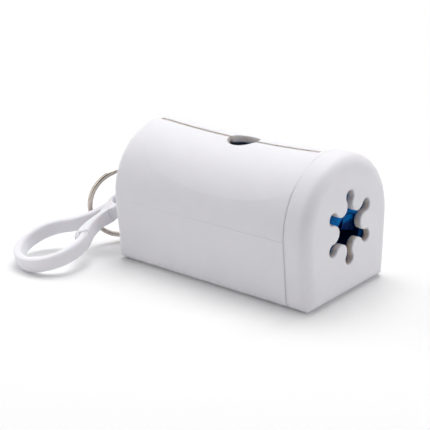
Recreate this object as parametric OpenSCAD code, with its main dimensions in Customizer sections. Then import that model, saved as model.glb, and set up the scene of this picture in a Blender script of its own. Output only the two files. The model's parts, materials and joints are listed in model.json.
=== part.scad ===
// Dog poop bag dispenser: a D-shaped case with a pull-off end cap, the roll of
// bags inside it, and a split ring and swivel snap hook for the leash.
// The origin is the middle of the underside. X runs along the roll to the cap.

/* [Case] */
// Width of the case, across its arch
case_w = 40; // [38:0.5:50]
// Lean of the two sides, inward as they go down
lean = 3.7; // [1:0.1:5]
// Height of the case at its ends
case_h = 40.8; // [39:0.2:50]
// Length of the tube that holds the roll
tube_l = 64.2; // [60:0.5:90]
// Thickness of the case walls
wall = 2; // [1.6:0.1:2.2]
// Radius of the two long edges of the underside
foot_r = 3.2; // [2.6:0.1:5]
// Radius of the edge round the closed end
end_r = 2; // [1:0.1:3]

/* [Saddle and slit] */
// Depth of the hollow along the crest
saddle_depth = 1.4; // [0.6:0.1:1.8]
// Place of its deepest point, as a share of the tube's length
saddle_place = 0.592; // [0.55:0.002:0.64]
// Reach of the hollow each way from there, as a share of the tube's length
saddle_share = 0.514; // [0.46:0.002:0.54]
// How much wider the hollow's own radius is than the arch's
saddle_spread = 1; // [0.6:0.1:3]
// Width of the slit that the bags come out of
slit_w = 1.3; // [0.8:0.1:2.5]
// Start of the slit, from the closed end
slit_start = 3; // [2.6:0.1:8]
// Width of the solid strip between the slit and the mouth of the tube
slit_bridge = 2.2; // [1.5:0.1:6]
// Diameter of the finger hole in the slit
finger_d = 9.6; // [7:0.2:14]
// Place of the finger hole, as a share of the tube's length
finger_place = 0.545; // [0.44:0.005:0.65]

/* [Cap] */
// Length of the cap that shows
cap_l = 7.8; // [6.5:0.1:12]
// Radius of the cap's front edge
cap_r = 3.4; // [1.5:0.1:4]
// Length of the plug that pushes into the tube
plug_l = 6; // [4:0.5:9]
// Thickness of the plug
plug_wall = 1; // [0.8:0.1:1.4]
// Gap between the plug and the tube
plug_gap = 0.25; // [0.15:0.05:0.4]
// Height of the grip ribs on the plug
rib_h = 0.12; // [0.05:0.01:0.14]
// Height of the window's middle
window_z = 20.3; // [16:0.1:23]
// Distance from the window's middle to the tips of its tongues
tongue_tip = 5; // [4:0.1:6]
// Radius of the round tongues between the arms
tongue_r = 2.6; // [2:0.1:2.8]
// Radius of the round arm ends
arm_r = 1.9; // [1.4:0.1:2.1]
// Distance from the window's middle to the arm ends' middles
arm_at = 9; // [8.6:0.1:10]

/* [Bag roll] */
// Diameter of the roll
roll_d = 28; // [24:0.5:29.5]
// Diameter of the hollow down its middle
roll_bore = 11; // [9:0.5:14]
// Length of the roll
roll_l = 61.6; // [50:0.2:62]
// Gap between the roll and what it lies against
roll_gap = 0.2; // [0.1:0.05:0.3]

/* [Lug and split ring] */
// Height of the lug's middle above the underside
lug_z = 7; // [6.5:0.1:7.3]
// Thickness of the lug
lug_t = 2.4; // [2:0.1:2.6]
// Radius of the lug's hole
lug_hole_r = 3.6; // [3.5:0.1:4.2]
// Width of the material round the hole
lug_rim = 2; // [1.8:0.1:3]
// Gap between the end wall and the hole
lug_web = 1.1; // [1:0.1:1.6]
// Outer diameter of the split ring
ring_d = 22.6; // [22:0.2:24]
// Thickness of one coil of the ring, along its axis
coil_t = 0.9; // [0.8:0.05:1.1]
// Width of the ring's wire, outward
coil_w = 1.3; // [1.2:0.05:1.6]
// Gap between the two coils
coil_gap = 0.08; // [0.05:0.01:0.15]
// Height of the ring's middle
ring_z = 12.9; // [12.6:0.1:13.6]
// Direction that the ring's plane runs in, from the X axis
ring_yaw = 61; // [56:1:63]
// Direction from the lug's middle to the ring's wire, from the X axis
wire_angle = 118; // [100:2:130]
// Gap between the ring and the lug's hole
ring_gap = 0.25; // [0.15:0.05:0.4]

/* [Snap hook] */
// Height of the hook's strap
strap_h = 4.6; // [3.6:0.1:5]
// Thickness of the hook's strap
strap_t = 2.6; // [2:0.1:3]
// Outer radius of the hook's bow
bow_r = 12.1; // [11.5:0.1:13]
// Radius of the hollow curves from the bow to the neck
shoulder_r = 13; // [12:0.5:14.5]
// Half the width of the neck
neck_hw = 2.7; // [2.4:0.1:3]
// Distance from the bow's middle to the collar's middle
collar_at = 26.7; // [26.4:0.1:28]
// Outer radius of the collar that holds the swivel
collar_r = 5.2; // [5:0.1:6]
// Radius of the window through the collar
collar_bore_r = 3.5; // [3.3:0.1:3.6]
// Direction that the hook points in, from the X axis
hook_yaw = 73.8; // [68:0.2:80]
// Height at which the hook's eye rides on the ring
eye_z = 16.7; // [16.4:0.1:17.6]

/* [Gate] */
// Angle below the axis at which the bow's nose ends
nose_angle = 40; // [34:1:46]
// Radius of the gate's inner face
gate_face_r = 18.5; // [17.5:0.1:20]
// Step from the top of the gate's round root down to its inner face
gate_drop = 0.9; // [0.7:0.1:1.1]
// Distance from the bow's middle to the gate's tip, along the axis
gate_tip = 5; // [3:0.5:7]
// Radius of the gate's round root
root_r = 1.3; // [1.1:0.05:1.4]
// Gap between the gate and the hook
gate_gap = 0.3; // [0.2:0.05:0.4]

/* [Swivel] */
// Radius of the swivel's stem
stem_r = 1.3; // [1:0.05:1.5]
// Length of the stem that shows between the collar and the eye
stem_show = 1.2; // [0.3:0.1:1.5]
// Radius of the stem's head
head_r = 2.1; // [1.9:0.05:2.2]
// Thickness of the stem's head
head_t = 1.4; // [1:0.1:1.8]
// Radius of the hole in the swivel's eye
eye_hole_r = 2.4; // [2.3:0.05:2.8]
// Distance sideways from the eye's middle to the ring's wire
eye_shift = 0.7; // [0:0.1:0.9]
// Radius of the eye's round bar
eye_bar_r = 0.7; // [0.6:0.05:0.8]
// Running gap round the stem and under the eye
swivel_gap = 0.08; // [0.05:0.01:0.1]

/* [Hidden] */
$fn = 96;
over = 0.5;

// Case: the arch is half a circle, and the sides lean in below it.
arch_r = case_w / 2;
arch_z = case_h - arch_r;
case_l = tube_l + cap_l;
left = -case_l / 2;
seam = left + tube_l;
least_foot_r = 0.6;
skin = 0.001;
half_lap = arch_r / 5;

// Saddle: a ring-shaped cut whose middle lies high above the crest.
saddle_x = tube_l * saddle_place;
saddle_reach = tube_l * saddle_share;
saddle_r = (saddle_reach * saddle_reach + saddle_depth * saddle_depth) / (2 * saddle_depth);
saddle_axis = case_h - saddle_depth + saddle_r;
saddle_angle = 24;
saddle_top = 3 * saddle_depth;
saddle_side_r = arch_r + saddle_spread;

// Roll: its end lies in the plug, on the plug's floor and against its far side.
plug_inset = wall + plug_gap;
plug_inner = plug_inset + plug_wall;
roll_r = roll_d / 2;
roll_z = plug_inner + roll_gap + roll_r;
roll_y = side_place(arch_r - plug_inner - roll_gap - roll_r, roll_z);
roll_end = left + case_l - wall - roll_gap;

// Lug and ring: the ring's wire stands in the lug's hole, near its rim.
lug_x = left - lug_web - lug_hole_r;
ring_r = ring_d / 2;
wire_r = ring_r - coil_w / 2;
ring_t = 2 * coil_t + coil_gap;
lug_drop = ring_z - lug_z;
wire_out = sqrt(wire_r * wire_r - lug_drop * lug_drop);
wire_tilt = asin(lug_drop / wire_r);
wire_reach = sqrt(pow(ring_t / 2, 2) + pow(coil_w / 2 / cos(wire_tilt), 2));
wire_side = lug_hole_r - wire_reach - ring_gap - lug_t / 2 * tan(wire_tilt);
wire_x = lug_x + wire_side * cos(wire_angle);
wire_y = wire_side * sin(wire_angle);
ring_x = wire_x - wire_out * cos(ring_yaw);
ring_y = wire_y - wire_out * sin(ring_yaw);
ramp = 22;
end_gap = 4;
seam_turn = 110;

// Hook: its own X axis runs from the bow to the eye, in the strap's mid plane.
shoulder_x = sqrt(pow(bow_r + shoulder_r, 2) - pow(neck_hw + shoulder_r, 2));
shoulder_y = neck_hw + shoulder_r;
shoulder_angle = atan2(shoulder_y, shoulder_x);
arc_lap = 0.5;
collar_end = collar_at + collar_r;
eye_r = eye_hole_r + 2 * eye_bar_r;
eye_at = collar_end + stem_show + eye_r;
eye_pull = sqrt(pow(eye_hole_r - ring_gap / 2 - wire_reach, 2) - pow(eye_shift, 2));
eye_rise = eye_z - ring_z;
eye_out = sqrt(wire_r * wire_r - eye_rise * eye_rise);
hook_reach = eye_at + bow_r;
hook_pitch = asin(eye_z / sqrt(pow(hook_reach, 2) + pow(strap_h / 2, 2))) - atan(strap_h / 2 / hook_reach);
eye_x = ring_x + eye_out * cos(ring_yaw) - eye_pull * cos(hook_yaw) + eye_shift * sin(hook_yaw);
eye_y = ring_y + eye_out * sin(ring_yaw) - eye_pull * sin(hook_yaw) - eye_shift * cos(hook_yaw);

// Gate: it turns in the neck and its tip rests inside the bow's nose.
root_back = neck_hw / 7;
root_inset = neck_hw / 50;
root_x = shoulder_x - root_back;
root_y = -neck_hw + root_r + root_inset;
gate_face_x = root_x - root_r;
gate_face_y = root_y + root_r - gate_drop - gate_face_r;

// --- Profiles ---

// Y of the line at height z that runs beside a leaning side, at a distance
// of reach from the arch's axis.
function side_place(reach, z) = (reach - (arch_z - z) * sin(lean)) / cos(lean);

function foot_radius(inset) = max(foot_r - inset, least_foot_r);

// D-shaped section of the case, drawn in from its outer face by inset. Its
// straight sides run into the curves a hair inside them, so they always cross.
module case_section(inset) {
    r = foot_radius(inset);
    foot_z = inset + r;
    foot_y = side_place(arch_r - inset - r, foot_z);
    out = [cos(lean), -sin(lean)];
    top = [0, arch_z] + (arch_r - inset - skin) * out;
    low = [foot_y, foot_z] + (r - skin) * out;
    translate([0, arch_z]) circle(r = arch_r - inset);
    polygon([top, low, [foot_y, inset], [-foot_y, inset], [-low[0], low[1]], [-top[0], top[1]]]);
    for (side = [-1, 1])
        translate([side * foot_y, foot_z]) circle(r = r);
}

// What the rounding of one long foot edge takes away.
module foot_cut() {
    foot_y = side_place(arch_r - foot_r, foot_r);
    out = [cos(lean), -sin(lean)];
    centre = [foot_y, foot_r];
    difference() {
        polygon([centre, [foot_y, -over], [foot_y + foot_r + over, -over], centre + (foot_r + over) * out]);
        translate(centre) circle(r = foot_r);
    }
}

// A strip from the Y axis out to depth, with its two outer corners rounded.
module edge_profile(depth, length, r_start, r_end) {
    difference() {
        square([depth, length]);
        end_cuts(depth, length, r_start, r_end);
    }
}

// What rounding the strip's two outer corners takes away.
module end_cuts(depth, length, r_start, r_end) {
    if (r_start > 0)
        translate([depth, 0]) corner_cut(r_start);
    if (r_end > 0)
        translate([depth, length]) mirror([0, 1]) corner_cut(r_end);
}

module corner_cut(r) {
    difference() {
        translate([-r, -over]) square([r + over, r + over]);
        translate([-r, r]) circle(r = r);
    }
}

// Six-armed window: round arm ends, with round tongues between the arms.
module window_shape() {
    tongue_at = tongue_tip + tongue_r;
    difference() {
        circle(r = tongue_at);
        for (a = [0:60:300])
            rotate(a) translate([tongue_at, 0]) circle(r = tongue_r);
    }
    for (a = [30:60:330])
        rotate(a) {
            translate([arm_at, 0]) circle(r = arm_r);
            translate([tongue_tip, -tongue_tip / 4]) square([arm_at - tongue_tip, tongue_tip / 2]);
        }
}

// --- Case ---

// Lays a section drawn in Y and Z along X.
module along_x(x, length) {
    translate([x, 0, 0]) rotate([90, 0, 90]) linear_extrude(length) children();
}

// Case-shaped block whose end edges are rounded by r_start and r_end.
module case_block(x, length, r_start, r_end) {
    difference() {
        translate([x, 0, arch_z]) {
            rotate([0, 90, 0]) rotate([0, 0, 90 - lean]) rotate_extrude(angle = 180 + 2 * lean)
                edge_profile(arch_r, length, r_start, r_end);
            for (side = [0, 1])
                mirror([0, side, 0]) skirt_side(length, r_start, r_end);
        }
        translate([x - over, -case_w, -case_h]) cube([length + 2 * over, 2 * case_w, case_h]);
        for (side = [0, 1])
            mirror([0, side, 0]) along_x(x - over, length + 2 * over) foot_cut();
        translate([x, 0, 0]) rotate([90, 0, 0]) linear_extrude(case_w + 2 * over, center = true)
            rotate(-90) end_cuts(0, length, r_start, r_end);
    }
}

// Half of the block below the arch, with its upright end edges rounded.
module skirt_side(length, r_start, r_end) {
    rotate([-lean, 0, 0]) translate([0, -half_lap, -case_h])
        linear_extrude(case_h) mirror([1, -1]) edge_profile(arch_r + half_lap, length, r_start, r_end);
}

// What lies above the hollow crest, for a face drawn in by inset.
module above_saddle(inset) {
    translate([left + saddle_x, 0, saddle_axis]) rotate([0, 90, 0]) rotate([90, 0, 0])
        rotate([0, 0, -saddle_angle / 2]) rotate_extrude(angle = saddle_angle, $fn = 720)
            difference() {
                translate([saddle_r - saddle_top, -arch_r - over])
                    square([arch_r + saddle_top, case_w + 2 * over]);
                translate([saddle_r + saddle_side_r, 0]) circle(r = saddle_side_r - inset);
            }
}

module cavity() {
    difference() {
        along_x(left + wall, tube_l - wall - plug_l - 1) case_section(wall);
        above_saddle(wall);
    }
    along_x(seam - plug_l - 1 - over, plug_l + 1 + 2 * over) case_section(wall);
}

module slit_and_finger_hole() {
    translate([left + slit_start, -slit_w / 2, arch_z])
        cube([tube_l - slit_start - slit_bridge, slit_w, arch_r + 1]);
    translate([left + tube_l * finger_place, 0, arch_z]) cylinder(d = finger_d, h = arch_r + 1);
}

// Flat loop on the closed end that the split ring hangs from.
module lug() {
    difference() {
        translate([0, 0, lug_z - lug_t / 2]) linear_extrude(lug_t) {
            translate([lug_x, 0]) circle(r = lug_hole_r + lug_rim);
            translate([lug_x, -lug_hole_r - lug_rim])
                square([left - lug_x + over, 2 * (lug_hole_r + lug_rim)]);
        }
        translate([lug_x, 0, lug_z - lug_t]) cylinder(r = lug_hole_r, h = 2 * lug_t);
    }
}

module case_tube() {
    color("whitesmoke") {
        difference() {
            case_block(left, tube_l, end_r, 0);
            above_saddle(0);
            cavity();
            slit_and_finger_hole();
        }
        lug();
    }
}

module end_cap() {
    color("white") {
        difference() {
            case_block(seam, cap_l, 0, cap_r);
            along_x(seam - over, cap_l - wall + over) case_section(plug_inner);
            translate([seam, 0, window_z]) rotate([90, 0, 90]) linear_extrude(cap_l + 1) window_shape();
        }
        plug();
    }
}

// Open plug with low grip ribs, which the tube's mouth takes.
module plug() {
    difference() {
        along_x(seam - plug_l, plug_l + over) case_section(plug_inset);
        along_x(seam - plug_l - over, plug_l + 3 * over) case_section(plug_inner);
    }
    for (side = [-1, 1])
        for (z = [arch_z / 3, arch_z * 2 / 3])
            translate([seam - plug_l + 1, side * side_place(arch_r - plug_inset, z), z])
                rotate([0, 90, 0]) cylinder(r = rib_h, h = plug_l - 1, $fn = 24);
}

module bag_roll() {
    color("royalblue") translate([roll_end - roll_l, roll_y, roll_z]) rotate([0, 90, 0])
        difference() {
            cylinder(r = roll_r, h = roll_l);
            translate([0, 0, -1]) cylinder(d = roll_bore, h = roll_l + 2);
        }
}

// --- Split ring ---

// Height of the wire's middle along the ring's axis, at an angle of 0 to 720.
function coil_height(a) =
    let (step = (coil_t + coil_gap) / 2, share = (a - 360 + ramp) / ramp)
    share <= 0 ? -step : share >= 1 ? step : -step * cos(180 * share);

// Corners of the wire's flat section, with its outer edges taken off.
function wire_corners() =
    let (w = coil_w / 2, t = coil_t / 2, c = coil_t / 5)
    [[-w, -t], [w - c, -t], [w, c - t], [w, t - c], [w - c, t], [-w, t]];

function wire_station(a) =
    [for (p = wire_corners()) [(wire_r + p[0]) * cos(a), (wire_r + p[0]) * sin(a), coil_height(a) + p[1]]];

module coil() {
    last = 720 - ramp - end_gap;
    steps = 110;
    sides = len(wire_corners());
    points = [for (i = [0:steps]) each wire_station(end_gap + i * (last - end_gap) / steps)];
    skins = [for (i = [0:steps - 1]) for (j = [0:sides - 1])
        let (k = (j + 1) % sides)
        [i * sides + j, i * sides + k, (i + 1) * sides + k, (i + 1) * sides + j]];
    ends = [[for (j = [sides - 1:-1:0]) j], [for (j = [0:sides - 1]) steps * sides + j]];
    polyhedron(points, concat(skins, ends), convexity = 6);
}

module split_ring() {
    color("silver") translate([ring_x, ring_y, ring_z])
        rotate([90, 0, ring_yaw]) rotate([0, 0, seam_turn]) coil();
}

// --- Hook, gate and swivel ---

module place_hook() {
    translate([eye_x, eye_y, eye_z]) rotate([0, -hook_pitch, hook_yaw]) translate([-eye_at, 0, 0]) children();
}

// Strap that follows an arc round the origin, from angle a to angle b.
module strap_arc(r_outer, r_inner, a, b) {
    steps = ceil((b - a) / 60);
    rays = [for (i = [0:steps]) let (t = a + i * (b - a) / steps) 2 * r_outer * [cos(t), sin(t)]];
    intersection() {
        difference() {
            circle(r = r_outer);
            circle(r = r_inner);
        }
        polygon([[0, 0], each rays]);
    }
}

module hook_shape() {
    difference() {
        union() {
            strap_arc(bow_r, bow_r - strap_t, shoulder_angle - arc_lap, 360 - nose_angle);
            translate([shoulder_x, shoulder_y])
                strap_arc(shoulder_r + strap_t, shoulder_r, 180 + shoulder_angle, 270 + arc_lap);
            translate([root_x, -neck_hw]) square([collar_at - root_x, 2 * neck_hw]);
            translate([collar_at, 0]) circle(r = collar_r);
        }
        translate([collar_at, 0]) circle(r = collar_bore_r);
        translate([root_x, root_y]) circle(r = root_r + swivel_gap);
    }
}

module snap_hook() {
    color("white") place_hook() difference() {
        translate([0, 0, -strap_h / 2]) linear_extrude(strap_h) hook_shape();
        translate([collar_at, 0, 0]) rotate([0, 90, 0]) cylinder(r = stem_r + swivel_gap, h = collar_r + 1);
    }
}

// The gate lies between the line of the missing shoulder and a flatter inner
// face, and steps in behind the bow's nose.
module gate_shape() {
    step_angle = nose_angle - asin(gate_gap / (bow_r - strap_t));
    far = 3 * bow_r;
    intersection() {
        translate([gate_face_x, gate_face_y]) circle(r = gate_face_r);
        translate([gate_tip, -far]) square([root_x - gate_tip, far]);
        union() {
            circle(r = bow_r - strap_t - gate_gap);
            polygon([[0, 0], far * [cos(step_angle), -sin(step_angle)], [far, 0]]);
        }
        difference() {
            circle(r = far);
            translate([shoulder_x, -shoulder_y]) circle(r = shoulder_r);
        }
    }
    translate([root_x, root_y]) circle(r = root_r);
}

module hook_gate() {
    color("white") place_hook() translate([0, 0, -strap_h / 2]) linear_extrude(strap_h) gate_shape();
}

module swivel_eye() {
    stem_start = collar_at + sqrt(pow(collar_bore_r, 2) - pow(head_r, 2)) - swivel_gap - head_t;
    color("white") place_hook() {
        translate([stem_start, 0, 0]) rotate([0, 90, 0]) cylinder(r = head_r, h = head_t);
        translate([stem_start, 0, 0]) rotate([0, 90, 0])
            cylinder(r = stem_r, h = eye_at - eye_hole_r - eye_bar_r - stem_start);
        translate([eye_at, 0, 0]) rotate_extrude()
            translate([eye_hole_r + eye_bar_r, 0]) circle(r = eye_bar_r, $fn = 48);
    }
}

case_tube();
end_cap();
bag_roll();
split_ring();
swivel_eye();
snap_hook();
hook_gate();
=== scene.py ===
# %% [markdown]
# # Dog poop bag dispenser
# A white moulded case holds a roll of blue bags. A pull-off cap with a six-armed window closes one
# end. On the other end hang a split ring and a swivel snap hook for the leash.
#
# The solids come from the CAD model, in metres, with the origin in the middle of the case's
# underside. The case and the cap keep their CAD surfaces, because their shape is already right.
# The roll, the ring, the hook and its gate are made again here, because their looks depend on
# small things that a machining model leaves out: layers of film, rolled edges, soft corners.

import json
import math

import bmesh
import bpy
import numpy as np
from mathutils import Matrix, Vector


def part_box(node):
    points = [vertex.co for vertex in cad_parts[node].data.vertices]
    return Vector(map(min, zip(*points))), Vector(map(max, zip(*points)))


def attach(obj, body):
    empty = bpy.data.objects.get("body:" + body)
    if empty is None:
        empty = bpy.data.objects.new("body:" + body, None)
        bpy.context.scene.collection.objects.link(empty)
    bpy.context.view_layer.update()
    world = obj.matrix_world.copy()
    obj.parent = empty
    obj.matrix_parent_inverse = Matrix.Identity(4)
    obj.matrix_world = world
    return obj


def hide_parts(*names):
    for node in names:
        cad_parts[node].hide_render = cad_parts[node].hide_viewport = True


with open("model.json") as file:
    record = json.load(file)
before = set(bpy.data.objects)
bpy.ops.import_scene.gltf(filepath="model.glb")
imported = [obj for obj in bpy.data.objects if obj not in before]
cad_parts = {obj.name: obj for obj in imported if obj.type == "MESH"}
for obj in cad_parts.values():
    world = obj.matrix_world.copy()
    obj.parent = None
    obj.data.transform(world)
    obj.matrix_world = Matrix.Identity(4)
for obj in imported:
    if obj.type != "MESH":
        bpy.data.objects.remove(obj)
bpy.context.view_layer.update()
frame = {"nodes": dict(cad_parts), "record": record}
node = frame["nodes"]
MM = 0.001

# %% [markdown]
# ## A small kit for surfaces
# Each new piece is a grid of points worked out from two parameters. `surface` turns such a grid
# into faces, and can close it on itself in either direction. `piece` puts one or more of them
# into a mesh that rides with its body, so that it moves as the CAD part does.

# %% Surfaces from grids
def surface(points, loop_u=False, loop_v=False):
    """Faces between neighbours of a grid of points, of shape (rows, columns, 3)."""
    rows, columns = points.shape[:2]
    at = np.arange(rows * columns).reshape(rows, columns)
    if loop_u:
        at = np.vstack([at, at[:1]])
    if loop_v:
        at = np.hstack([at, at[:, :1]])
    quads = np.stack([at[:-1, :-1], at[1:, :-1], at[1:, 1:], at[:-1, 1:]], axis=-1)
    return points.reshape(-1, 3), quads.reshape(-1, 4)


def join(*parts):
    """One set of points and faces from several."""
    starts = np.cumsum([0] + [len(points) for points, _ in parts[:-1]])
    points = np.vstack([points for points, _ in parts])
    faces = np.vstack([faces + start for (_, faces), start in zip(parts, starts)])
    return points, faces


def piece(name, part, material, body, replaced, caps=(), sharp=50):
    """A mesh from points in millimetres, smooth but for sharp creases.

    Each of the caps is a set of point numbers, whose open rims are closed with flat faces. The
    faces are then turned to one side together, which is sure to be the outside only where no
    part of the skin folds over itself."""
    points, faces = part
    mesh = bpy.data.meshes.new(name)
    mesh.from_pydata((points * MM).tolist(), [], faces.tolist())
    solid = bmesh.new()
    solid.from_mesh(mesh)
    for cap in caps:
        inside = set(cap.tolist())
        rim = [edge for edge in solid.edges
               if edge.is_boundary and all(corner.index in inside for corner in edge.verts)]
        bmesh.ops.triangle_fill(solid, edges=rim, use_beauty=True)
    bmesh.ops.recalc_face_normals(solid, faces=solid.faces)
    solid.to_mesh(mesh)
    solid.free()
    mesh.shade_smooth()
    mesh.set_sharp_from_angle(angle=math.radians(sharp))
    mesh.materials.append(material)
    made = bpy.data.objects.new(name, mesh)
    bpy.context.scene.collection.objects.link(made)
    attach(made, body)
    if replaced:
        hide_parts(*replaced)
    size = np.ptp(points, axis=0)
    print(f"{name}: {len(mesh.polygons)} faces, {size[0]:.1f} x {size[1]:.1f} x {size[2]:.1f} mm")


# %% [markdown]
# ## Camera
# The object is seen from the cap's side, from a hand's height. The lens is long, so the case's
# edges hardly converge. The camera is placed by the two angles that it looks along, a small roll
# of the hand, and its distance.

# %% Camera
CAMERA_AT = np.array([199.94, -244.54, 129.58]) * MM
CAMERA_YAW = 0.7161
CAMERA_PITCH = 0.3435
CAMERA_ROLL = -0.0292
CAMERA_LENS = 95.27

lens = bpy.data.cameras.new("camera")
lens.lens = CAMERA_LENS
lens.sensor_width = 36
lens.clip_start = 0.01
lens.clip_end = 20
camera = bpy.data.objects.new("camera", lens)
bpy.context.scene.collection.objects.link(camera)
bpy.context.scene.camera = camera


def facing(place, back, roll=0.0):
    """Matrix of a camera or lamp at place, whose own Z axis points back along back."""
    back = np.array(back) / np.linalg.norm(back)
    right = np.cross([0, 0, 1], back)
    right /= np.linalg.norm(right)
    up = np.cross(back, right)
    c, s = math.cos(roll), math.sin(roll)
    axes = np.eye(4)
    axes[:3, 0] = c * right + s * up
    axes[:3, 1] = c * up - s * right
    axes[:3, 2] = back
    axes[:3, 3] = place
    return Matrix(axes.tolist())


level = math.cos(CAMERA_PITCH)
camera_back = [
    math.sin(CAMERA_YAW) * level,
    -math.cos(CAMERA_YAW) * level,
    math.sin(CAMERA_PITCH),
]
camera.matrix_world = facing(CAMERA_AT, camera_back, CAMERA_ROLL)
print("camera looks back along", np.round(camera_back, 3))

# %% [markdown]
# ## A small kit for finishes
# Every finish here is a graph of shader nodes. These helpers add a node, do sums on its values
# and mix its colours, so that each finish below reads as a short recipe. Patterns are worked out
# from a point's own place on the model, so they stay with the piece when it moves.

# %% Shader kit
def add(tree, kind, **settings):
    """A new shader node with some of its settings and input values."""
    made = tree.nodes.new(kind)
    for key, value in settings.items():
        if hasattr(made, key):
            setattr(made, key, value)
        else:
            made.inputs[key.replace("_", " ")].default_value = value
    return made


def noise(tree, place, scale, detail=2.0):
    """Soft random patches, about 1/scale metres across."""
    made = add(tree, "ShaderNodeTexNoise", Scale=scale, Detail=detail)
    tree.links.new(place, made.inputs["Vector"])
    return made.outputs["Fac"]


def between(tree, value, low, high, start=0.0, end=1.0):
    """A value carried from the range start..end to low..high, smoothly, and held there."""
    made = add(tree, "ShaderNodeMapRange", interpolation_type="SMOOTHSTEP")
    made.inputs["From Min"].default_value = start
    made.inputs["From Max"].default_value = end
    made.inputs["To Min"].default_value = low
    made.inputs["To Max"].default_value = high
    tree.links.new(value, made.inputs["Value"])
    return made.outputs["Result"]


def math_node(tree, operation, a, b):
    """A sum, product or other mix of two values, where either may be a plain number."""
    made = add(tree, "ShaderNodeMath", operation=operation)
    for socket, value in zip(made.inputs, (a, b)):
        if isinstance(value, (int, float)):
            socket.default_value = value
        else:
            tree.links.new(value, socket)
    return made.outputs[0]


def colour_mix(tree, share, first, second):
    """A colour between two others, by a share of 0 to 1."""
    made = add(tree, "ShaderNodeMix", data_type="RGBA")
    tree.links.new(share, made.inputs["Factor"])
    for socket, colour in ((made.inputs[6], first), (made.inputs[7], second)):
        if isinstance(colour, tuple):
            socket.default_value = (*colour, 1)
        else:
            tree.links.new(colour, socket)
    return made.outputs[2]


def straight(tree, a, b):
    """Straight distance of a point that lies a one way and b at right angles to it."""
    squares = math_node(tree, "ADD", math_node(tree, "MULTIPLY", a, a),
                        math_node(tree, "MULTIPLY", b, b))
    return math_node(tree, "SQRT", squares, 0.0)


def split_axes(tree, place):
    """The X, Y and Z of a place, as three separate values."""
    made = add(tree, "ShaderNodeSeparateXYZ")
    tree.links.new(place, made.inputs[0])
    return [made.outputs[axis] for axis in "XYZ"]


def relief(tree, shader, height, strength, depth):
    """Small hills and hollows on a surface. depth is how high a height of 1 stands, in metres."""
    made = add(tree, "ShaderNodeBump")
    made.inputs["Strength"].default_value = strength
    made.inputs["Distance"].default_value = depth
    tree.links.new(height, made.inputs["Height"])
    tree.links.new(made.outputs[0], shader.inputs["Normal"])
    return made


def new_finish(name):
    """An empty finish: its material, its node tree, its shader and the place on the piece."""
    made = bpy.data.materials.new(name)
    made.use_nodes = True
    tree = made.node_tree
    place = add(tree, "ShaderNodeTexCoord").outputs["Object"]
    return made, tree, tree.nodes["Principled BSDF"], place


print("shader kit ready")

# %% [markdown]
# ## Surround
# The surround looks white to the camera and to reflections, but the light that it sheds on the
# object stays at a plain level, so that white plastic keeps its shades. It is dimmer on the side
# of the case's near corner, where reflections meet a dark screen instead of white, so that the
# rounded edge there reads as a soft dark band.

# %% Surround
def seen_directly(tree):
    """A value of 1 for camera, gloss and glass rays, and 0 for the light that falls on things."""
    path = add(tree, "ShaderNodeLightPath").outputs
    gloss_or_glass = math_node(tree, "MAXIMUM", path["Is Glossy Ray"], path["Is Transmission Ray"])
    return math_node(tree, "MAXIMUM", path["Is Camera Ray"], gloss_or_glass)


SURROUND_LIGHT = 0.11
SURROUND_TINT = (0.98, 0.97, 1.0, 1)
WHITE = (1, 1, 1, 1)
DIM_SIDE = (0.62, -0.71, 0.33)
DIM_FROM = 0.2
DIM_SHARE = 0.3
SCREEN_EDGE = 0.30
SCREEN_FULL = 0.56

world = bpy.data.worlds.new("surround")
bpy.context.scene.world = world
world.use_nodes = True
tree = world.node_tree
tree.nodes.clear()
towards = add(tree, "ShaderNodeVectorMath", operation="DOT_PRODUCT")
towards.inputs[1].default_value = DIM_SIDE
tree.links.new(add(tree, "ShaderNodeTexCoord").outputs["Generated"], towards.inputs[0])
side = towards.outputs["Value"]
soft = add(tree, "ShaderNodeBackground", Color=SURROUND_TINT)
dimmed = between(tree, side, SURROUND_LIGHT, SURROUND_LIGHT * DIM_SHARE, DIM_FROM, 1.0)
tree.links.new(dimmed, soft.inputs["Strength"])
in_gloss = add(tree, "ShaderNodeLightPath").outputs["Is Glossy Ray"]
screen = math_node(tree, "MULTIPLY", in_gloss,
                   between(tree, side, 0.0, 1.0, SCREEN_EDGE, SCREEN_FULL))
white = add(tree, "ShaderNodeBackground", Color=WHITE)
tree.links.new(math_node(tree, "SUBTRACT", 1.0, screen), white.inputs["Strength"])
mix = add(tree, "ShaderNodeMixShader")
out = add(tree, "ShaderNodeOutputWorld")
for source, socket in ((seen_directly(tree), mix.inputs[0]), (soft.outputs[0], mix.inputs[1]),
                       (white.outputs[0], mix.inputs[2]), (mix.outputs[0], out.inputs[0])):
    tree.links.new(source, socket)
print("light from all round:", SURROUND_LIGHT)

# %% [markdown]
# ## Floor
# The floor is matt and pale. Near the object it shows the shadow, and further out it passes into
# plain white, so that no edge of the floor is seen.

# %% Floor
FLOOR_HALF = 3.0
SHADOW_NEAR = 0.075
SHADOW_FAR = 0.16
FLOOR_SEEN = 1.00
FLOOR_LIT = 0.90

corners = np.array([[-1, -1, 0], [1, -1, 0], [1, 1, 0], [-1, 1, 0]]) * FLOOR_HALF
floor_mesh = bpy.data.meshes.new("floor")
floor_mesh.from_pydata(corners.tolist(), [], [(0, 1, 2, 3)])
floor = bpy.data.objects.new("floor", floor_mesh)
bpy.context.scene.collection.objects.link(floor)

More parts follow.
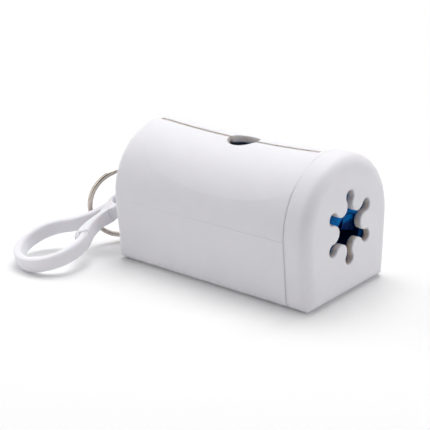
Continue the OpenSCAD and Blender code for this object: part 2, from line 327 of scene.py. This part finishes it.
pale = bpy.data.materials.new("pale_floor")
pale.use_nodes = True
tree = pale.node_tree
tree.nodes.clear()
away = add(tree, "ShaderNodeVectorMath", operation="LENGTH")
tree.links.new(add(tree, "ShaderNodeTexCoord").outputs["Object"], away.inputs[0])
far = between(tree, away.outputs["Value"], 0.0, 1.0, SHADOW_NEAR, SHADOW_FAR)
seen = seen_directly(tree)
tone = add(tree, "ShaderNodeMix", data_type="FLOAT", A=FLOOR_LIT, B=FLOOR_SEEN)
matt = add(tree, "ShaderNodeBsdfDiffuse")
plain_white = add(tree, "ShaderNodeEmission")
blend = add(tree, "ShaderNodeMixShader")
out = add(tree, "ShaderNodeOutputMaterial")
for source, socket in ((seen, tone.inputs["Factor"]),
                       (tone.outputs["Result"], matt.inputs["Color"]),
                       (math_node(tree, "MULTIPLY", far, seen), blend.inputs[0]),
                       (matt.outputs[0], blend.inputs[1]),
                       (plain_white.outputs[0], blend.inputs[2]),
                       (blend.outputs[0], out.inputs[0])):
    tree.links.new(source, socket)
floor_mesh.materials.append(pale)
print(f"floor: shadow fades from {SHADOW_NEAR / MM:.0f} to {SHADOW_FAR / MM:.0f} mm off")

# %% [markdown]
# ## Lamps
# Five broad square lamps stand round the object and face it, as soft boxes would. The ones above
# and behind light the crest, the left and front ones the long side, and the right one the cap's
# end. Being broad, they leave one soft shadow close to the case.

# %% Lamps
def lamp(name, at, size, power):
    """A square lamp at a place in metres, which faces the object."""
    light = bpy.data.lights.new(name, "AREA")
    light.size = size
    light.energy = power
    made = bpy.data.objects.new(name, light)
    bpy.context.scene.collection.objects.link(made)
    made.matrix_world = facing(at, at)


LAMPS = {
    "lamp_above": ((-0.05, 0.10, 0.60), 0.40, 1.5),
    "lamp_behind": ((-0.05, 0.30, 0.58), 0.60, 1.65),
    "lamp_left": ((-0.50, -0.05, 0.42), 0.50, 1.05),
    "lamp_right": ((0.58, 0.18, 0.26), 0.50, 1.35),
    "lamp_front": ((-0.26, -0.60, 0.32), 0.60, 1.4),
}
for name, (at, size, power) in LAMPS.items():
    lamp(name, at, size, power)
    print(f"{name}: {size} m wide, {power} W")
bpy.context.scene.view_settings.view_transform = "Standard"

# %% [markdown]
# ## Moulded plastic
# The case, the cap and the hook come out of polished steel moulds, so the plastic is satin, not
# flat: a very fine grain in the gloss, a slightly uneven tone, and edges that are never quite
# sharp. The grain and the tone come from noise on the piece's own place. The Bevel node bends the
# light over the CAD model's sharp edges, which costs no new geometry.

# %% Plastic
TONE_SCALE = 160.0
GRAIN_SCALE = 5200.0
GRAIN_HEIGHT = 0.012
GLOSS_SCALE = 700.0
SATIN = (0.40, 0.50)
NOISE_MIDDLE = (0.3, 0.7)
PLASTIC_SHINE = 0.35
GLOW_SHARE = 0.4
GLOW_REACH = 1.5 * MM
GLOW_TINT = (1.0, 0.85, 0.78)


def plastic(name, light, dark, edge, painted_marks=None):
    """Satin plastic whose sharp edges look rounded by edge. The last argument adds painted marks:
    painted shade in lines, painted light on walls, and a mould's bumps.
    """
    made, tree, shader, place = new_finish(name)
    tone = colour_mix(tree, noise(tree, place, TONE_SCALE, 3.0), light, dark)
    height = math_node(tree, "MULTIPLY", noise(tree, place, GRAIN_SCALE), GRAIN_HEIGHT)
    if painted_marks:
        tone, marks = painted_marks(tree, place, tone)
        height = math_node(tree, "ADD", height, marks)
    tree.links.new(tone, shader.inputs["Base Color"])
    rough = between(tree, noise(tree, place, GLOSS_SCALE, 4.0), *SATIN, *NOISE_MIDDLE)
    tree.links.new(rough, shader.inputs["Roughness"])
    shader.inputs["Specular IOR Level"].default_value = PLASTIC_SHINE
    shader.inputs["Subsurface Weight"].default_value = GLOW_SHARE
    shader.inputs["Subsurface Radius"].default_value = GLOW_TINT
    shader.inputs["Subsurface Scale"].default_value = GLOW_REACH
    bump = relief(tree, shader, height, 1.0, 1.0 * MM)
    if edge:
        soft_edge = add(tree, "ShaderNodeBevel", samples=6)
        soft_edge.inputs["Radius"].default_value = edge
        tree.links.new(soft_edge.outputs[0], bump.inputs["Normal"])
    print(f"{name}: edges soft by {edge / MM:.2f} mm")
    return made


# %% [markdown]
# ## Painted shade in lines and painted light on walls
# Two fine dark lines cross the case, and both are painted shade. Where the two halves of the mould
# met, a hair of plastic runs along each side, clearest near the mouth: the hair is a small bump,
# and the dark line along it is painted shade. Where the cap meets the tube, the two rounded rims
# leave a narrow groove, whose shade is painted as a dark line that fades near the crest, where the
# light from above would fill it. The walls of the window, the slit and the finger hole are painted
# a warmer tone: painted light that stands in for light which has come through the plastic. Each
# mark is a share of 0 to 1 that is worked out from a point's distance to a line or an axis, and
# then mixes one colour into another.

# %% Marks on the case
PARTING_Z = 20.1 * MM
PARTING_HALF = 0.10 * MM
PARTING_SPAN = (-26 * MM, 24 * MM)
# The parting line's dark tone is painted shade along its little ridge, stronger towards the mouth;
# the ridge itself is a bump.
PARTING_SHADE_SHARE = (0.14, 0.45)
PARTING_HEIGHT = 0.11
SEAM_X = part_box("case_tube")[1].x
SEAM_HALF = 0.16 * MM
# The seam's groove is painted shade, faded near the crest, where light from above would fill it.
SEAM_SHADE_FADE = (22 * MM, 36 * MM)
SEAM_SHADE_SHARE = (0.45, 0.10)
SEAM_HEIGHT = -0.04
SLIT_HALF = 0.65 * MM
SLIT_FROM = -33.0 * MM
HOLE_X = -1.01 * MM
HOLE_R = 4.8 * MM
HOLE_EDGE = 0.2 * MM
CREST = (24 * MM, 30 * MM)
# Colour of the painted shade in the seam's groove and along the parting line.
PAINTED_LINE_SHADE = (0.36, 0.35, 0.38)
# Painted light on the walls of the slit and the finger hole, standing in for light that comes
# through the plastic.
SLIT_WALL_PAINTED_LIGHT = (0.95, 0.89, 0.85)


def near_line(tree, value, middle, half):
    """1 where the value is at the middle, falling to 0 at half on each side."""
    off = math_node(tree, "ABSOLUTE", math_node(tree, "SUBTRACT", value, middle), 0.0)
    return between(tree, off, 1.0, 0.0, 0.0, half)


def painted_seam_shade(tree, x, z):
    """Painted shade in the groove between tube and cap, weaker near the crest, where light from
    above fills it.
    """
    return math_node(tree, "MULTIPLY", near_line(tree, x, SEAM_X, SEAM_HALF),
                     between(tree, z, *SEAM_SHADE_SHARE, *SEAM_SHADE_FADE))


def case_painted_shade_and_light(tree, place, tone):
    """Painted shade along the parting line and in the seam's groove, the parting line's bump, and
    painted light on the walls of the slit and the finger hole.
    """
    x, y, z = split_axes(tree, place)
    parting = math_node(tree, "MULTIPLY", near_line(tree, z, PARTING_Z, PARTING_HALF),
                        between(tree, x, *PARTING_SHADE_SHARE, *PARTING_SPAN))
    line = math_node(tree, "MAXIMUM", painted_seam_shade(tree, x, z), parting)
    aside = math_node(tree, "ABSOLUTE", y, 0.0)
    away = straight(tree, math_node(tree, "SUBTRACT", x, HOLE_X), aside)
    slit = math_node(tree, "MULTIPLY",
                     between(tree, aside, 1.0, 0.0, SLIT_HALF, SLIT_HALF + HOLE_EDGE),
                     between(tree, x, 0.0, 1.0, SLIT_FROM - MM, SLIT_FROM))
    hole = between(tree, away, 1.0, 0.0, HOLE_R, HOLE_R + HOLE_EDGE)
    wall = math_node(tree, "MULTIPLY", math_node(tree, "MAXIMUM", slit, hole),
                     between(tree, z, 0.0, 1.0, *CREST))
    # Painted light on the walls first, then painted shade in the lines.
    tone = colour_mix(tree, line, colour_mix(tree, wall, tone, SLIT_WALL_PAINTED_LIGHT), PAINTED_LINE_SHADE)
    return tone, math_node(tree, "MULTIPLY", parting, PARTING_HEIGHT)


print(f"seam {SEAM_X / MM:.1f} mm along, parting line {PARTING_Z / MM:.1f} mm up")

# %% Marks on the cap
FACE_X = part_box("end_cap")[1].x
WINDOW_Z = 20.3 * MM
WINDOW_R = 12.5 * MM
WALL_START = (0.15 * MM, 0.9 * MM)
WALL_END = (1.65 * MM, 1.95 * MM)
# Painted light on the window's walls, standing in for light that comes through the plastic.
WINDOW_WALL_PAINTED_LIGHT = (0.93, 0.82, 0.71)


def cap_painted_shade_and_light(tree, place, tone):
    """Painted shade in the groove at the seam, and painted light on the walls of the window,
    between its front and back faces.
    """
    x, y, z = split_axes(tree, place)
    deep = math_node(tree, "SUBTRACT", FACE_X, x)
    inside = math_node(tree, "MINIMUM", between(tree, deep, 0.0, 1.0, *WALL_START),
                       between(tree, deep, 1.0, 0.0, *WALL_END))
    away = straight(tree, math_node(tree, "SUBTRACT", z, WINDOW_Z), y)
    near = between(tree, away, 1.0, 0.0, WINDOW_R, WINDOW_R + MM)
    # seam holds the painted shade in the groove at the seam.
    seam = painted_seam_shade(tree, x, z)
    # Painted light on the window's walls.
    tone = colour_mix(tree, math_node(tree, "MULTIPLY", inside, near), tone, WINDOW_WALL_PAINTED_LIGHT)
    return (colour_mix(tree, seam, tone, PAINTED_LINE_SHADE),
            math_node(tree, "MULTIPLY", seam, SEAM_HEIGHT))


print(f"cap's face {FACE_X / MM:.1f} mm along, window {WINDOW_Z / MM:.1f} mm up")

# %% [markdown]
# ## Finishes on the CAD pieces
# The case and the cap share one plastic. The cap's rim is rounder, so its edges are softened
# more. The hook's plastic is a little brighter, and its new surfaces have round edges already.

# %% Finishes
CASE_TONES = (0.865, 0.858, 0.89), (0.83, 0.82, 0.86)
HOOK_TONES = (0.90, 0.89, 0.93), (0.86, 0.85, 0.90)
case_plastic = plastic("case_plastic", *CASE_TONES, 0.35 * MM, case_painted_shade_and_light)
cap_plastic = plastic("cap_plastic", *CASE_TONES, 1.0 * MM, cap_painted_shade_and_light)
hook_plastic = plastic("hook_plastic", *HOOK_TONES, 0.0)
swivel_plastic = plastic("swivel_plastic", *HOOK_TONES, 0.3 * MM)
for name, finish in (("case_tube", case_plastic), ("end_cap", cap_plastic),
                     ("swivel_eye", swivel_plastic)):
    node[name].material_slots[0].material = finish
    print(name, "is finished in", finish.name)

# %% [markdown]
# ## Snap hook and gate
# The hook is a strap of one width, bent into a bow and run into a neck with a round collar. Seen
# from above, its outline is a chain of arcs and straight lines. The outline is laid out in its
# own plane, softened a little as a mould would, and then carried up through the thickness while
# the profile rounds the upper and lower edges. The gate is made in the same way.

# %% Outlines and rounded plates
EDGE_ROWS = 8
FLAT_START = 1.15


def arc(centre, radius, start, end):
    """Points on a circle's arc between two angles in degrees, about a tenth of a mm apart."""
    count = max(3, int(abs(math.radians(end - start)) * radius / 0.1))
    turn = np.radians(np.linspace(start, end, count))
    return np.stack([centre[0] + radius * np.cos(turn), centre[1] + radius * np.sin(turn)], -1)


def even_loop(parts, step, soften):
    """A closed outline through all parts, with evenly spaced points and softened corners.

    Softening averages each point with its neighbours by a bell curve of the given width."""
    line = np.vstack(parts)
    line = np.vstack([line, line[:1]])
    run = np.concatenate([[0], np.cumsum(np.hypot(*np.diff(line, axis=0).T))])
    count = int(run[-1] / step)
    at = np.linspace(0, run[-1], count, endpoint=False)
    loop = np.stack([np.interp(at, run, line[:, k]) for k in (0, 1)], -1)
    wave = np.fft.fftfreq(count, d=step)
    keep = np.exp(-2 * (math.pi * wave * soften) ** 2)
    return np.stack([np.fft.ifft(np.fft.fft(loop[:, k]) * keep).real for k in (0, 1)], -1)


def rounded_plate(loop, height, edge, hole=False):
    """Side wall of a plate over a closed outline, its edges rounded by edge (one value a point).

    Going up, the outline moves inward by edge * (1 - cos(a)) as it rises by edge * sin(a). One
    last row lies on the flat face, FLAT_START edges in."""
    ahead = np.roll(loop, -1, axis=0) - np.roll(loop, 1, axis=0)
    ahead /= np.linalg.norm(ahead, axis=1, keepdims=True)
    inward = np.stack([-ahead[:, 1], ahead[:, 0]], -1)
    area = np.sum(loop[:, 0] * np.roll(loop[:, 1], -1) - loop[:, 1] * np.roll(loop[:, 0], -1))
    inward = inward * np.sign(area) * (-1 if hole else 1)
    turn = np.radians(np.linspace(0, 90, EDGE_ROWS))
    shift = np.append(1 - np.cos(turn), FLAT_START)
    rise = np.append(np.sin(turn) - 1, 0.0)
    sign = np.repeat([-1.0, 1.0], len(shift))[:, None]
    shift = np.concatenate([shift[::-1], shift])[:, None]
    rise = np.concatenate([rise[::-1], rise])[:, None]
    flat = loop[None] + inward[None] * (shift * edge[None])[..., None]
    z = sign * (height / 2 + rise * edge[None])
    return np.concatenate([flat, z[..., None]], -1)


# %% Outline of the hook
BOW_OUT = 12.1
BOW_IN = 9.5
NOSE_ANGLE = 40.0
SHOULDER_R = 13.0
STRAP_T = 2.6
STRAP_H = 4.6
STRAP_START = 268.6
NECK_HALF = 2.7
COLLAR_AT = 26.7
COLLAR_R = 5.2
COLLAR_BORE = 3.5
SHOULDER_Y = NECK_HALF + SHOULDER_R
SHOULDER_X = math.sqrt((BOW_OUT + SHOULDER_R) ** 2 - SHOULDER_Y**2)
SHOULDER_ANGLE = math.degrees(math.atan2(SHOULDER_Y, SHOULDER_X))
ROOT_R = 1.3
ROOT_AT = (SHOULDER_X - NECK_HALF / 7, -NECK_HALF + ROOT_R + NECK_HALF / 50)
POCKET_R = 1.38
POCKET_SPAN = (-78.0, 90.0)

collar_angle = math.degrees(math.asin(NECK_HALF / COLLAR_R))
hook_outline = even_loop([
    arc((0, 0), BOW_OUT, 360 - NOSE_ANGLE, SHOULDER_ANGLE),
    arc((SHOULDER_X, SHOULDER_Y), SHOULDER_R, 180 + SHOULDER_ANGLE, 270),
    arc((COLLAR_AT, 0), COLLAR_R, 180 - collar_angle, collar_angle - 180),
    arc(ROOT_AT, POCKET_R, *POCKET_SPAN),
    arc((SHOULDER_X, SHOULDER_Y), SHOULDER_R + STRAP_T, STRAP_START, 180 + SHOULDER_ANGLE),
    arc((0, 0), BOW_IN, SHOULDER_ANGLE, 360 - NOSE_ANGLE),
], step=0.15, soften=0.2)
collar_hole = even_loop([arc((COLLAR_AT, 0), COLLAR_BORE, 0, 359)], step=0.15, soften=0.1)
print("hook outline:", len(hook_outline), "points, collar:", len(collar_hole))

# %% [markdown]
# The hook stands at an angle: its bow rests on the table and its eye rides up on the ring. The
# model's record gives the bow's middle, the direction of the swivel and the direction through
# the bow. Those three carry the hook's plane into place.

# %% Placing the hook
mounts = {row["name"]: row for row in frame["record"]["mounts"]}
joints = {row["name"]: row for row in frame["record"]["behaviour"]["joints"]}
bow_at = np.array(mounts["hook_loop"]["pos_m"]) / MM
hook_along = np.array(joints["hook_swivel"]["axis"])
hook_up = np.array(mounts["hook_loop"]["axis"])
hook_axes = np.stack([hook_along, np.cross(hook_up, hook_along), hook_up])


def on_hook(points):
    """Points in the hook's own axes, from the bow's middle, carried into the model's."""
    return bow_at + points @ hook_axes


print(f"hook rises at {math.degrees(math.asin(hook_along[2])):.1f} degrees")

# %% Hook
EDGE_R = 0.85
POCKET_EDGE = 0.06
POCKET_CLEAR = 0.15
COLLAR_EDGE = 0.6


def edge_near_root(loop, reach):
    """Edge rounding of each point: full along the strap, and next to none at the gate's root."""
    away = np.hypot(loop[:, 0] - ROOT_AT[0], loop[:, 1] - ROOT_AT[1])
    share = np.clip((away - POCKET_R - POCKET_CLEAR) / reach, 0, 1)
    return POCKET_EDGE + (EDGE_R - POCKET_EDGE) * share * share * (3 - 2 * share)


wall = rounded_plate(hook_outline, STRAP_H, edge_near_root(hook_outline, reach=1.2))
bore = rounded_plate(collar_hole, STRAP_H, np.full(len(collar_hole), COLLAR_EDGE), hole=True)
hook_part = join(surface(on_hook(wall), loop_v=True), surface(on_hook(bore), loop_v=True))
outer, inner = wall.shape[1], bore.shape[1]
after_wall = wall.shape[0] * outer
low_rims = np.concatenate([np.arange(outer), after_wall + np.arange(inner)])
high_rims = np.concatenate([after_wall - outer + np.arange(outer),
                            len(hook_part[0]) - inner + np.arange(inner)])
piece("hook_body", hook_part, hook_plastic, "hook", ["snap_hook"],
      caps=(low_rims, high_rims))

# %% [markdown]
# The gate is a flat spring of the same plastic. Its free tip rests behind the hook's nose, its
# back follows the strap's curve, and its face is one long arc that meets the round root. Where
# the face meets the root is the crossing of two circles, found from the triangle between their
# middles.

# %% Gate
FACE_R = 18.5
FACE_SINK = 0.9
GATE_TIP = 5.0
GATE_BACK = 91.7
GATE_EDGE = 0.8
NOSE_CLEAR = 9.2
STEP_GAP = 0.3
face_at = np.array([ROOT_AT[0] - ROOT_R, ROOT_AT[1] + ROOT_R - FACE_SINK - FACE_R])
tip_low = math.degrees(math.acos(GATE_TIP / NOSE_CLEAR))
tip_high = math.degrees(math.acos((GATE_TIP - face_at[0]) / FACE_R))
step_angle = NOSE_ANGLE - math.degrees(math.asin(STEP_GAP / BOW_IN))
towards_root = np.array(ROOT_AT) - face_at
far = np.linalg.norm(towards_root)
meet = math.atan2(towards_root[1], towards_root[0]) + math.acos(
    (FACE_R**2 - far**2 - ROOT_R**2) / (2 * far * ROOT_R))
meet_point = np.array(ROOT_AT) + ROOT_R * np.array([math.cos(meet), math.sin(meet)]) - face_at
meet_face = math.degrees(math.atan2(meet_point[1], meet_point[0]))
gate_outline = even_loop([
    arc((0, 0), NOSE_CLEAR, -step_angle, -tip_low),
    arc(face_at, FACE_R, tip_high, meet_face),
    arc(ROOT_AT, ROOT_R, math.degrees(meet), -90),
    arc((SHOULDER_X, -SHOULDER_Y), SHOULDER_R, GATE_BACK, 180 - SHOULDER_ANGLE),
], step=0.12, soften=0.2)
gate_edge = edge_near_root(gate_outline, reach=1.6) * GATE_EDGE
gate_wall = rounded_plate(gate_outline, STRAP_H, gate_edge)
rim = np.arange(gate_wall.shape[1])
piece("gate_arm", surface(on_hook(gate_wall), loop_v=True), hook_plastic, "gate",
      ["hook_gate"], caps=(rim, gate_wall[..., 0].size - 1 - rim))

# %% [markdown]
# ## Split ring
# A split ring is nearly two turns of flat spring wire, pressed together. The wire's outer corners
# are rolled over, its inner face is flat, and each end is cut off square. The path is a circle
# whose height stays level for almost a turn, steps over the other coil on a short ramp, and stays
# level again. The wire's section is carried along it as a closed tube.

# %% Wire of the ring
WIRE_R = 10.65
COIL_W = 1.3
COIL_T = 0.9
COIL_GAP = 0.08
RAMP = 22.0
END_GAP = 4.0
SEAM_TURN = 110.0
OUTER_POWER = 2.6
INNER_POWER = 4.5
END_TAPER = [0.0, 0.8, 0.96]


def coil_height(turn):
    """Height of the wire's middle over the ring's plane: low, then up a ramp, then high."""
    step = (COIL_T + COIL_GAP) / 2
    share = np.clip((turn - 360 + RAMP) / RAMP, 0, 1)
    return -step * np.cos(np.pi * share)


def wire_section(count=28):
    """Flat wire: a rectangle whose outer corners are round and whose inner ones are crisper.

    A point lies where |across|^p + |along|^p is 1. The higher the power p, the squarer it is."""
    turn = np.linspace(0, 2 * np.pi, count, endpoint=False)
    across, along = np.cos(turn), np.sin(turn)
    power = np.where(across > 0, OUTER_POWER, INNER_POWER)
    size = (np.abs(across) ** power + np.abs(along) ** power) ** (-1 / power)
    return np.stack([across * size * COIL_W / 2, along * size * COIL_T / 2], -1)


def wire(count=420):
    """The section carried along the coil, then drawn to a point on each cut end."""
    last = 720 - RAMP - END_GAP
    ends = len(END_TAPER)
    turn = np.concatenate([[END_GAP] * ends, np.linspace(END_GAP, last, count), [last] * ends])
    scale = np.concatenate([END_TAPER, np.ones(count), END_TAPER[::-1]])
    section = wire_section()
    radius = WIRE_R + scale[:, None] * section[None, :, 0]
    angle = np.radians(turn + SEAM_TURN)[:, None]
    height = coil_height(turn)[:, None] + scale[:, None] * section[None, :, 1]
    return np.stack([radius * np.cos(angle), radius * np.sin(angle), height], -1)


coil = wire()
print("wire:", coil.shape[0], "stations of", coil.shape[1], "points")

# %% [markdown]
# The ring hangs upright from the lug. Its plane holds the upward direction and the level
# direction at right angles to the ring's axis. The steel is nickel plated: bright, a little
# warm, and finely scratched all round.

# %% Ring
ring_at = np.array(mounts["ring_loop"]["pos_m"]) / MM
ring_axis = np.array(mounts["ring_loop"]["axis"])
ring_axes = np.stack([[-ring_axis[1], ring_axis[0], 0.0], [0.0, 0.0, 1.0], ring_axis])
STEEL_BRIGHT = (0.62, 0.565, 0.51)
STEEL_DULL = (0.46, 0.405, 0.36)
STEEL_ROUGH = (0.16, 0.30)
DULL_SCALE = 900.0
SCRATCH_SCALE = 4200.0
SCRATCH_SHARE = 0.4
SCRATCH_DEPTH = 0.02 * MM


def steel(name, bright, dull):
    """Nickel-plated steel: bright, with fine scratches and patches of a warmer, duller tint."""
    made, tree, shader, place = new_finish(name)
    shader.inputs["Metallic"].default_value = 1.0
    patches = noise(tree, place, DULL_SCALE, 4.0)
    tree.links.new(colour_mix(tree, patches, bright, dull), shader.inputs["Base Color"])
    rough = between(tree, patches, *STEEL_ROUGH, *NOISE_MIDDLE)
    tree.links.new(rough, shader.inputs["Roughness"])
    scratches = noise(tree, place, SCRATCH_SCALE, 3.0)
    relief(tree, shader, scratches, SCRATCH_SHARE, SCRATCH_DEPTH)
    return made


ring_steel = steel("ring_steel", STEEL_BRIGHT, STEEL_DULL)
piece("ring_coils", surface(coil @ ring_axes + ring_at, loop_v=True), ring_steel, "ring",
      ["split_ring"])

# %% [markdown]
# ## Roll of bags
# The roll is one long strip of blue film, wound without a core. Its side is nearly smooth, its
# end shows the edges of the layers, which never lie quite level, and the hollow down the middle
# keeps the creases of the first turns. One profile runs along the hollow, over the end, along the
# outside and back. It is turned round the roll's axis, and each layer's wobble is added on top.

# %% Shape of the roll
roll_low, roll_high = (np.array(corner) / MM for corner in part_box("bag_roll"))
ROLL_Y, ROLL_Z = (value / MM for value in joints["roll_turn"]["pos_m"][1:])
ROLL_END = roll_high[0]
ROLL_L = roll_high[0] - roll_low[0]
ROLL_R = (roll_high[2] - roll_low[2]) / 2
ROLL_BORE = 5.5
LAYER = 0.55
RIDGE_DEPTH = 0.10
SLIP_DEPTH = 0.22
SLIP_RATE = 1.7
RIM_WIDTH = 0.4
RIM_SHARE = 0.3
SIDE_DEPTH = 0.10
SIDE_LIMIT = 0.5
SIDE_TWIST = 0.06
CREASE_DEPTH = 0.22
CREASE_LIMIT = 0.6
CREASE_TWIST = 0.4


def ring_wave(turn, seed, waves):
    """A smooth random value round the axis: a sum of waves of falling size."""
    pick = np.random.default_rng(seed)
    size = pick.normal(size=waves) / np.arange(2, waves + 2)
    phase = pick.uniform(0, 2 * np.pi, waves)
    order = np.arange(1, waves + 1)
    return (size * np.cos(order * turn[..., None] + phase)).sum(-1)


def roll_surface(around=360, over_end=90, along_side=38):
    """Points of the roll: rows follow the profile, columns go round the axis.

    On an end, layer counts the turns of a spiral. Each layer is a ridge, one cosine wave deep,
    and the layers have slipped along the axis by a slow sine wave across them."""
    turn = np.linspace(0, 2 * np.pi, around, endpoint=False)[None]
    across = np.linspace(ROLL_BORE, ROLL_R, over_end)[:, None]
    length = np.linspace(0, 1, along_side + 2)[1:-1, None]
    layer = (across - ROLL_BORE) / LAYER - turn / (2 * np.pi)
    ridge = 0.5 - 0.5 * np.cos(2 * np.pi * layer)
    slip = 0.5 + 0.5 * np.sin(across * SLIP_RATE + ring_wave(turn, seed=4, waves=6))
    rim = np.minimum(across - ROLL_BORE, ROLL_R - across) / RIM_WIDTH
    sunk = (RIDGE_DEPTH * ridge + SLIP_DEPTH * slip) * np.minimum(1, rim + RIM_SHARE)
    side = np.abs(ring_wave(turn + SIDE_TWIST * length, seed=7, waves=12))
    bumps = np.minimum(SIDE_DEPTH * (side + turn / (2 * np.pi)), SIDE_LIMIT)
    bore = np.abs(ring_wave(turn + CREASE_TWIST * length, seed=9, waves=16))
    creases = np.minimum(CREASE_DEPTH * bore, CREASE_LIMIT)
    along = ROLL_END - ROLL_L * length + 0 * turn
    ends = across + 0 * turn
    x = np.vstack([ROLL_END - sunk, along, (ROLL_END - ROLL_L + sunk)[::-1], along[::-1]])
    r = np.vstack([ends, ROLL_R - bumps, ends[::-1], ROLL_BORE + creases[::-1]])
    return np.stack([x, ROLL_Y + r * np.cos(turn), ROLL_Z + r * np.sin(turn)], -1)


print(f"roll: {ROLL_L:.1f} mm long, radius {ROLL_R:.2f} mm")

# %% [markdown]
# The film is thin and clear blue. Its colour runs from bright blue to nearly navy. The navy is
# painted shade: it fills the hollow and the side of the roll that leans away from the light. Soft
# random patches of it break up the rest.

# %% Film
FILM_BRIGHT = (0.001, 0.17, 0.52)
# The deep navy serves both the random patches and the painted shade.
FILM_DEEP_AND_SHADE = (0.0008, 0.016, 0.10)
FILM_SHINE = 0.03
FILM_ROUGH = (0.30, 0.50)
PATCH_SCALE = 260.0
PATCH_SHARE = 0.45
PATCH_SPAN = (0.35, 0.65)
GLINT_SCALE = 900.0
WRINKLE_SCALE = 1500.0
WRINKLE_SHARE = 0.6
WRINKLE_DEPTH = 0.1 * MM
# Where painted shade lies on the roll: in the hollow, and on the side that leans away from the
# light.
HOLLOW_SHADE_EDGE = ((ROLL_BORE - 0.1) * MM, (ROLL_BORE + 0.9) * MM)
SHADED_SIDE_SPAN = (-1 * MM, 4 * MM)
SHADED_SIDE_SHARE = 0.8
SHADE_LEAN_ASIDE = 0.6
SHADE_LEAN_DOWN = 0.8


def off_axis(tree, place):
    """How far a point lies from the roll's axis, sideways and upwards."""
    _, y, z = split_axes(tree, place)
    return (math_node(tree, "SUBTRACT", y, ROLL_Y * MM),
            math_node(tree, "SUBTRACT", z, ROLL_Z * MM))


def painted_roll_shade(tree, place):
    """Share of painted shade on the roll: all of it in the hollow, and some on the side that leans
    away from the light.
    """
    aside, rise = off_axis(tree, place)
    hollow_shade = between(tree, straight(tree, aside, rise), 1.0, 0.0, *HOLLOW_SHADE_EDGE)
    shaded_side = math_node(tree, "SUBTRACT", math_node(tree, "MULTIPLY", aside, SHADE_LEAN_ASIDE),
                     math_node(tree, "MULTIPLY", rise, SHADE_LEAN_DOWN))
    return math_node(tree, "MAXIMUM", hollow_shade, between(tree, shaded_side, 0.0, SHADED_SIDE_SHARE, *SHADED_SIDE_SPAN))


def film(name, depth):
    """Thin blue film: bright blue, mixed towards deep navy by random patches and by painted shade.
    depth gives the share of painted shade.
    """
    made, tree, shader, place = new_finish(name)
    patches = noise(tree, place, PATCH_SCALE, 4.0)
    patches = between(tree, patches, 0.0, PATCH_SHARE, *PATCH_SPAN)
    # The deep navy comes from random patches and from painted shade.
    share = math_node(tree, "MAXIMUM", patches, depth(tree, place))
    tree.links.new(colour_mix(tree, share, FILM_BRIGHT, FILM_DEEP_AND_SHADE), shader.inputs["Base Color"])
    rough = between(tree, noise(tree, place, GLINT_SCALE), *FILM_ROUGH, *NOISE_MIDDLE)
    tree.links.new(rough, shader.inputs["Roughness"])
    shader.inputs["Specular IOR Level"].default_value = FILM_SHINE
    wrinkles = noise(tree, place, WRINKLE_SCALE, 3.0)
    relief(tree, shader, wrinkles, WRINKLE_SHARE, WRINKLE_DEPTH)
    print(f"{name}: roughness {FILM_ROUGH[0]} to {FILM_ROUGH[1]}")
    return made


piece("bag_layers", surface(roll_surface(), loop_u=True, loop_v=True),
      film("bag_film", painted_roll_shade), "roll", ["bag_roll"])

# %% [markdown]
# The end of the innermost bag hangs as a loose flap over the hollow. It is a curved sheet, a
# fraction of a millimetre thick, which starts along the hollow's upper rim and ends in a straight
# cut edge near its middle. Its blue is painted deeper the lower it hangs: painted shade, as less
# light gets there.

# %% Loose flap
FLAP_SIDES = (-1.7, 4.7)
FLAP_RIM = ROLL_BORE - 0.06
FLAP_SUNK = 0.55
FLAP_LEAN = 0.9
FLAP_RIPPLE = 0.12
FLAP_WAVES = 2.4
FLAP_EDGE_Z = 0.75
FLAP_EDGE_SLOPE = -0.3
FLAP_SHADE = (2.4 * MM, 4.7 * MM)


def painted_flap_shade(tree, place):
    """Share of painted shade on the flap, more the lower it hangs over the roll's axis."""
    _, rise = off_axis(tree, place)
    return between(tree, rise, 1.0, 0.0, *FLAP_SHADE)


def flap_sheet(thickness=0.06):
    """Two skins of a sheet between the hollow's upper rim and a sloping straight edge.

    Across, y runs evenly. Down, z runs from the rim's circle to the edge's line, and x leans
    back by a part of the way down squared, with a slow ripple across."""
    y = np.linspace(*FLAP_SIDES, 40)[:, None]
    down = np.linspace(0, 1, 24)[None]
    rim_z = np.sqrt(FLAP_RIM**2 - y**2)
    edge_z = FLAP_EDGE_Z + FLAP_EDGE_SLOPE * y
    z = rim_z + (edge_z - rim_z) * down
    ripple = FLAP_RIPPLE * np.sin(FLAP_WAVES * y) * down
    x = ROLL_END - FLAP_SUNK - FLAP_LEAN * down**2 + ripple
    front = np.stack([x, ROLL_Y + y + 0 * down, ROLL_Z + z], -1)
    back = front - np.array([thickness, 0, 0])
    return np.concatenate([front, back[:, ::-1]], axis=1)


sheet = flap_sheet()
rim = np.arange(sheet.shape[1])
piece("bag_flap", surface(sheet, loop_v=True), film("flap_film", painted_flap_shade), "roll",
      [], caps=(rim, sheet[..., 0].size - 1 - rim))
